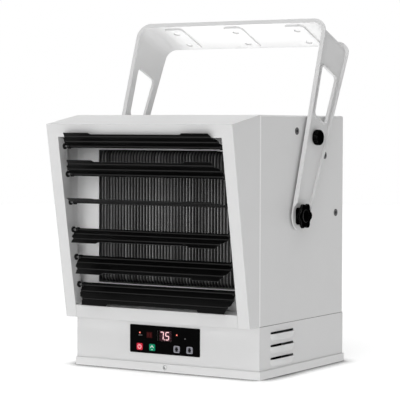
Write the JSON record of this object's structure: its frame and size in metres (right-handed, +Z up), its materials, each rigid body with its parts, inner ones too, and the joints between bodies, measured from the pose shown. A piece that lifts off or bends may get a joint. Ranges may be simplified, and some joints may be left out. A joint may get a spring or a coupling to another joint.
{
  "type": "ceiling mounted fan heater",
  "caption": "Boxy electric fan heater with a slanted louvered outlet hood, a tilting ceiling bracket with locking knobs, and a control base.",
  "frame": {"origin": "middle of the underside of the base pan, halfway across the body and halfway along its side panels", "axes": "+X to the right of a viewer who faces the louvers, -Y out of the front towards that viewer, +Z up"},
  "size_m": [0.3818, 0.3849, 0.5687],
  "materials": {
    "painted_steel": "smooth powder coat",
    "bracket_paint": "smooth powder coat",
    "black_paint": "satin black paint",
    "zinc_steel": "zinc plated",
    "fin_steel": "dark heated steel",
    "tube_steel": "sheathed tube",
    "fan_steel": "black enamel",
    "motor_steel": "black enamel",
    "black_plastic": "fine grain",
    "nylon": "plain",
    "panel_film": "printed film",
    "lens_red": "tinted window",
    "led_red": "clear red",
    "button_red": "moulded",
    "button_green": "moulded",
    "button_grey": "moulded",
    "board": "solder mask",
    "rubber": "plain"
  },
  "bodies": {
    "heater_body": {"casing": "painted_steel", "rear_panel": "painted_steel", "fan_guard": "black_paint", "outlet_hood": "painted_steel", "hood_sill": "painted_steel", "baffle_plate": "painted_steel", "element_fins": "fin_steel", "element_tubes": "tube_steel", "element_end_plates": "zinc_steel", "limit_thermostat": "zinc_steel", "fan_motor": "motor_steel", "motor_mount": "zinc_steel", "base_box": "painted_steel", "base_pan": "painted_steel", "deck_grommet": "rubber", "wiring_cover": "painted_steel", "control_panel": "panel_film", "display_window": "lens_red", "display_module": "black_plastic", "control_board": "board", "board_standoffs": "zinc_steel", "tact_switches": "black_plastic", "indicator_leds": "led_red", "terminal_block": "black_plastic", "contactor": "black_plastic", "transformer": "zinc_steel", "pivot_washers": "nylon", "rivet_nuts": "zinc_steel", "louver_bushes": "nylon", "hood_screws": "zinc_steel", "rear_screws": "zinc_steel", "guard_screws": "zinc_steel", "deck_screws": "zinc_steel", "pan_screws": "zinc_steel", "cover_screws": "zinc_steel"},
    "fan": {"fan_blade": "fan_steel", "fan_shaft": "zinc_steel"},
    "bracket": {"ceiling_bracket": "bracket_paint"},
    "pivot_knob_left": {"pivot_knob_left": "black_plastic"},
    "pivot_knob_right": {"pivot_knob_right": "black_plastic"},
    "lock_knob_left": {"lock_knob_left": "black_plastic"},
    "lock_knob_right": {"lock_knob_right": "black_plastic"},
    "louver_1": {"louver_1": "black_paint"},
    "louver_2": {"louver_2": "black_paint"},
    "louver_3": {"louver_3": "black_paint"},
    "louver_4": {"louver_4": "black_paint"},
    "louver_5": {"louver_5": "black_paint"},
    "louver_6": {"louver_6": "black_paint"},
    "button_power": {"button_power": "button_red"},
    "button_mode": {"button_mode": "button_green"},
    "button_down": {"button_down": "button_grey"},
    "button_up": {"button_up": "button_grey"}
  },
  "joints": [
    {"name": "bracket_tilt", "type": "hinge", "parent": "heater_body", "child": "bracket", "pos_m": [0, -0.022, 0.25], "axis": [-1, 0, 0], "range_deg": [-22.5, 67.5]},
    {"name": "fan_spin", "type": "hinge", "parent": "heater_body", "child": "fan", "pos_m": [0, 0.114, 0.246], "axis": [0, 1, 0], "continuous": true},
    {"name": "pivot_knob_left_turn", "type": "hinge", "parent": "heater_body", "child": "pivot_knob_left", "pos_m": [-0.185, -0.022, 0.25], "axis": [1, 0, 0], "range_deg": [-180, 180]},
    {"name": "lock_knob_left_turn", "type": "hinge", "parent": "bracket", "child": "lock_knob_left", "pos_m": [-0.184, 0.02966, 0.37472], "axis": [1, 0, 0], "range_deg": [-180, 180]},
    {"name": "pivot_knob_right_turn", "type": "hinge", "parent": "heater_body", "child": "pivot_knob_right", "pos_m": [0.185, -0.022, 0.25], "axis": [1, 0, 0], "range_deg": [-180, 180]},
    {"name": "lock_knob_right_turn", "type": "hinge", "parent": "bracket", "child": "lock_knob_right", "pos_m": [0.184, 0.02966, 0.37472], "axis": [1, 0, 0], "range_deg": [-180, 180]},
    {"name": "louver_1_tilt", "type": "hinge", "parent": "heater_body", "child": "louver_1", "pos_m": [0, -0.20209, 0.35979], "axis": [-1, 0, 0], "range_deg": [-68.5, 0]},
    {"name": "louver_2_tilt", "type": "hinge", "parent": "heater_body", "child": "louver_2", "pos_m": [0, -0.19419, 0.31484], "axis": [-1, 0, 0], "range_deg": [-72, 0]},
    {"name": "louver_3_tilt", "type": "hinge", "parent": "heater_body", "child": "louver_3", "pos_m": [0, -0.18629, 0.26989], "axis": [-1, 0, 0], "range_deg": [-44, 26]},
    {"name": "louver_4_tilt", "type": "hinge", "parent": "heater_body", "child": "louver_4", "pos_m": [0, -0.17839, 0.22494], "axis": [-1, 0, 0], "range_deg": [-28.5, 43.5]},
    {"name": "louver_5_tilt", "type": "hinge", "parent": "heater_body", "child": "louver_5", "pos_m": [0, -0.1705, 0.17999], "axis": [-1, 0, 0], "range_deg": [-17, 55]},
    {"name": "louver_6_tilt", "type": "hinge", "parent": "heater_body", "child": "louver_6", "pos_m": [0, -0.1626, 0.13503], "axis": [-1, 0, 0], "range_deg": [0, 72]},
    {"name": "button_power_press", "type": "slide", "parent": "heater_body", "child": "button_power", "axis": [0, 1, 0], "range_m": [0, 0.0005], "stiffness_N_per_m": 1500, "springref_m": -0.0002},
    {"name": "button_mode_press", "type": "slide", "parent": "heater_body", "child": "button_mode", "axis": [0, 1, 0], "range_m": [0, 0.0005], "stiffness_N_per_m": 1500, "springref_m": -0.0002},
    {"name": "button_up_press", "type": "slide", "parent": "heater_body", "child": "button_up", "axis": [0, 1, 0], "range_m": [0, 0.0005], "stiffness_N_per_m": 1500, "springref_m": -0.0002},
    {"name": "button_down_press", "type": "slide", "parent": "heater_body", "child": "button_down", "axis": [0, 1, 0], "range_m": [0, 0.0005], "stiffness_N_per_m": 1500, "springref_m": -0.0002}
  ]
}
